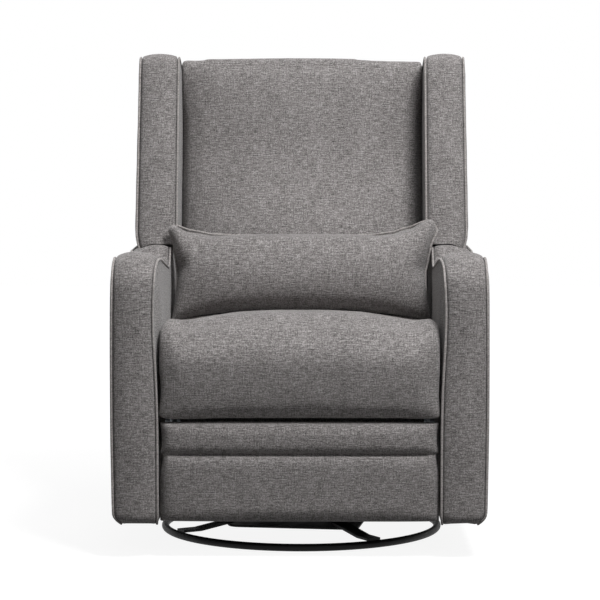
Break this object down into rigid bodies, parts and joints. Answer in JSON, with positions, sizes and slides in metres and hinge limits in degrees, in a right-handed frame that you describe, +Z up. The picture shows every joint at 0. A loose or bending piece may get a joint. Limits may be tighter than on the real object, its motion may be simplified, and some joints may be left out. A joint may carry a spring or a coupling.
{
  "type": "swivel glider recliner",
  "caption": "Upholstered wing-back armchair that swivels and glides on a ring base, reclines and opens a footrest, with a loose lumbar pillow.",
  "frame": {"origin": "on the floor, on the swivel axis, at the middle of the base ring", "axes": "+Z up along the swivel axis; +Y to the rear of the chair, so the sitter faces -Y; +X to the right as seen from in front"},
  "size_m": [0.7628, 0.8428, 1.045],
  "materials": {
    "upholstery_fabric": "woven heather grey",
    "black_steel": "satin powder coat",
    "zinc_steel": "bright zinc plate",
    "frame_timber": "planed, unfinished",
    "webbing": "woven elastic strap",
    "nylon": "matt"
  },
  "bodies": {
    "base": {"base_ring": "black_steel", "base_spokes": "black_steel", "base_hub": "black_steel", "hub_bolts": "zinc_steel", "swivel_washer": "nylon", "spindle_nut": "zinc_steel"},
    "swivel": {"swivel_plate": "black_steel", "glide_stand_left": "black_steel", "glide_stand_right": "black_steel"},
    "swing_front": {"swing_links_front": "zinc_steel"},
    "swing_rear": {"swing_links_rear": "zinc_steel"},
    "carriage": {"glide_rail_left": "black_steel", "glide_rail_right": "black_steel", "carriage_crossbars": "black_steel", "mechanism_plate_left": "zinc_steel", "mechanism_plate_right": "zinc_steel", "arm_bolts": "zinc_steel", "arm_left": "upholstery_fabric", "arm_right": "upholstery_fabric", "rear_panel": "upholstery_fabric"},
    "crank_front": {"seat_cranks_front": "zinc_steel"},
    "crank_rear": {"seat_cranks_rear": "zinc_steel"},
    "seat": {"seat_plate_left": "zinc_steel", "seat_plate_right": "zinc_steel", "seat_side_rails": "frame_timber", "seat_cross_rails": "frame_timber", "seat_springs": "zinc_steel", "seat_cushion": "upholstery_fabric"},
    "back": {"back_brackets": "zinc_steel", "back_posts": "frame_timber", "back_cross_rails": "frame_timber", "back_webbing": "webbing", "back_cushion": "upholstery_fabric", "back_top_roll": "upholstery_fabric", "wing_left": "upholstery_fabric", "wing_right": "upholstery_fabric", "outside_back": "upholstery_fabric"},
    "pillow": {"lumbar_pillow": "upholstery_fabric"},
    "ottoman_front": {"footrest_front_links": "zinc_steel", "footrest_cross_tube": "black_steel"},
    "ottoman_rear": {"footrest_rear_links": "zinc_steel"},
    "ottoman_upper": {"footrest_upper_links": "zinc_steel"},
    "ottoman_lower": {"footrest_lower_links": "zinc_steel"},
    "footrest": {"footrest_brackets": "zinc_steel", "footrest_board": "frame_timber", "footrest_pad": "upholstery_fabric"}
  },
  "joints": [
    {"name": "swivel", "type": "hinge", "parent": "base", "child": "swivel", "pos_m": [0, 0, 0.0473], "axis": [0, 0, 1], "continuous": true},
    {"name": "glide", "type": "hinge", "parent": "swivel", "child": "swing_front", "pos_m": [0, -0.09, 0.17], "axis": [1, 0, 0], "range_deg": [-30, 30]},
    {"name": "glide_rear", "type": "hinge", "parent": "swivel", "child": "swing_rear", "pos_m": [0, 0.09, 0.17], "axis": [1, 0, 0], "range_deg": [-30, 30]},
    {"name": "glide_level", "type": "hinge", "parent": "swing_front", "child": "carriage", "pos_m": [0, -0.09, 0.08], "axis": [1, 0, 0], "range_deg": [-30, 30]},
    {"name": "seat_crank_front", "type": "hinge", "parent": "carriage", "child": "crank_front", "pos_m": [0, -0.15, 0.215], "axis": [1, 0, 0], "range_deg": [0, 40]},
    {"name": "seat_crank_rear", "type": "hinge", "parent": "carriage", "child": "crank_rear", "pos_m": [0, 0.19, 0.215], "axis": [1, 0, 0], "range_deg": [0, 40]},
    {"name": "seat_level", "type": "hinge", "parent": "crank_front", "child": "seat", "pos_m": [0, -0.115, 0.27562], "axis": [1, 0, 0], "range_deg": [-40, 0]},
    {"name": "recline", "type": "hinge", "parent": "seat", "child": "back", "pos_m": [0, 0.215, 0.36], "axis": [-1, 0, 0], "range_deg": [0, 32]},
    {"name": "pillow_lift", "type": "slide", "parent": "back", "child": "pillow", "axis": [0, -0.9744, 0.225], "range_m": [0, 0.12]},
    {"name": "footrest", "type": "hinge", "parent": "seat", "child": "ottoman_front", "pos_m": [0, -0.22, 0.315], "axis": [-1, 0, 0], "range_deg": [0, 96]},
    {"name": "footrest_rear", "type": "hinge", "parent": "seat", "child": "ottoman_rear", "pos_m": [0, -0.18417, 0.28778], "axis": [-1, 0, 0], "range_deg": [0, 96]},
    {"name": "footrest_upper", "type": "hinge", "parent": "ottoman_front", "child": "ottoman_upper", "pos_m": [0, -0.14133, 0.12029], "axis": [-1, 0, 0], "range_deg": [-96, 0]},
    {"name": "footrest_lower", "type": "hinge", "parent": "ottoman_front", "child": "ottoman_lower", "pos_m": [0, -0.12635, 0.0832], "axis": [-1, 0, 0], "range_deg": [-96, 0]},
    {"name": "footrest_panel", "type": "hinge", "parent": "ottoman_upper", "child": "footrest", "pos_m": [0, -0.345, 0.275], "axis": [-1, 0, 0], "range_deg": [0, 96]}
  ],
  "couplings": [
    {"joint": "glide_rear", "follows": "glide", "ratio": 1},
    {"joint": "glide_level", "follows": "glide", "ratio": -1},
    {"joint": "seat_crank_front", "follows": "recline", "ratio": 1.25},
    {"joint": "seat_crank_rear", "follows": "recline", "ratio": 1.25},
    {"joint": "seat_level", "follows": "recline", "ratio": -1.25},
    {"joint": "footrest_rear", "follows": "footrest", "ratio": 1},
    {"joint": "footrest_upper", "follows": "footrest", "ratio": -1},
    {"joint": "footrest_lower", "follows": "footrest", "ratio": -1},
    {"joint": "footrest_panel", "follows": "footrest", "ratio": 1}
  ]
}
